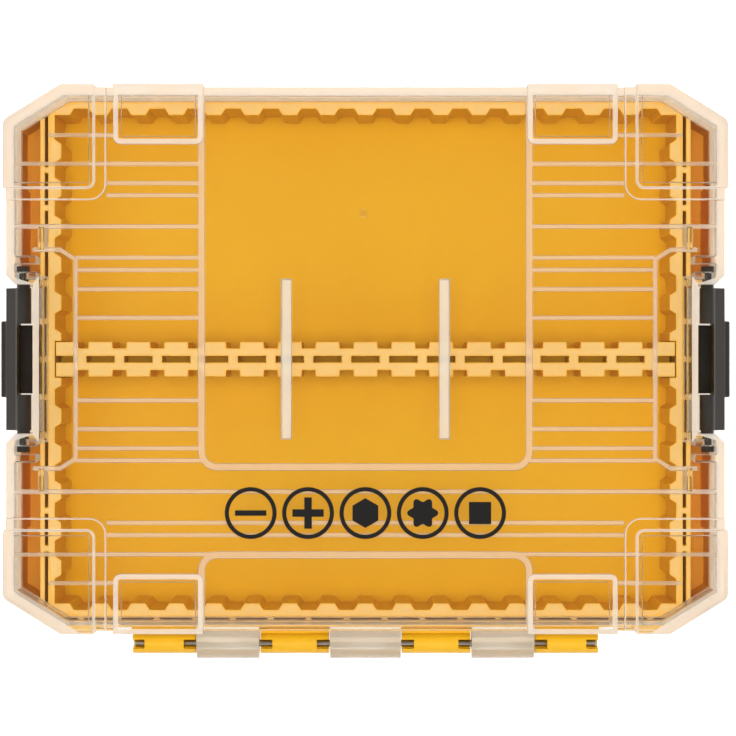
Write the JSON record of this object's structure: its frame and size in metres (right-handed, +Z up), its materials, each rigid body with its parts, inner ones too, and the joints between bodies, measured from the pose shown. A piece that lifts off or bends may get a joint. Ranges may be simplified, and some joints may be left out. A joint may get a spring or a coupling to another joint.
{
  "type": "screwdriver bit case",
  "caption": "Flat hinged storage case: toothed yellow tray with centre divider, clear ribbed lid with stacking pads, and a black snap latch at each end.",
  "frame": {"origin": "centre of the flat underside of the tray", "axes": "+X along the case towards the right latch, +Y towards the front edge away from the hinge, +Z up"},
  "size_m": [0.2452, 0.1918, 0.052],
  "materials": {
    "yellow_plastic": "opaque moulded plastic, fine satin texture",
    "clear_plastic": "clear polished polycarbonate",
    "black_plastic": "black moulded plastic, satin",
    "steel": "drawn wire"
  },
  "bodies": {
    "base": {"base_tray": "yellow_plastic", "centre_divider": "yellow_plastic", "hinge_pin": "steel"},
    "lid": {"lid": "clear_plastic"},
    "latch_left": {"latch_left": "black_plastic"},
    "latch_right": {"latch_right": "black_plastic"}
  },
  "joints": [
    {"name": "lid_hinge", "type": "hinge", "parent": "base", "child": "lid", "pos_m": [0, -0.0958, 0.035], "axis": [1, 0, 0], "range_deg": [0, 180]},
    {"name": "latch_left_pivot", "type": "hinge", "parent": "lid", "child": "latch_left", "pos_m": [-0.1144, 0, 0.042], "axis": [0, 1, 0], "range_deg": [0, 100]},
    {"name": "latch_right_pivot", "type": "hinge", "parent": "lid", "child": "latch_right", "pos_m": [0.1144, 0, 0.042], "axis": [0, -1, 0], "range_deg": [0, 100]}
  ]
}
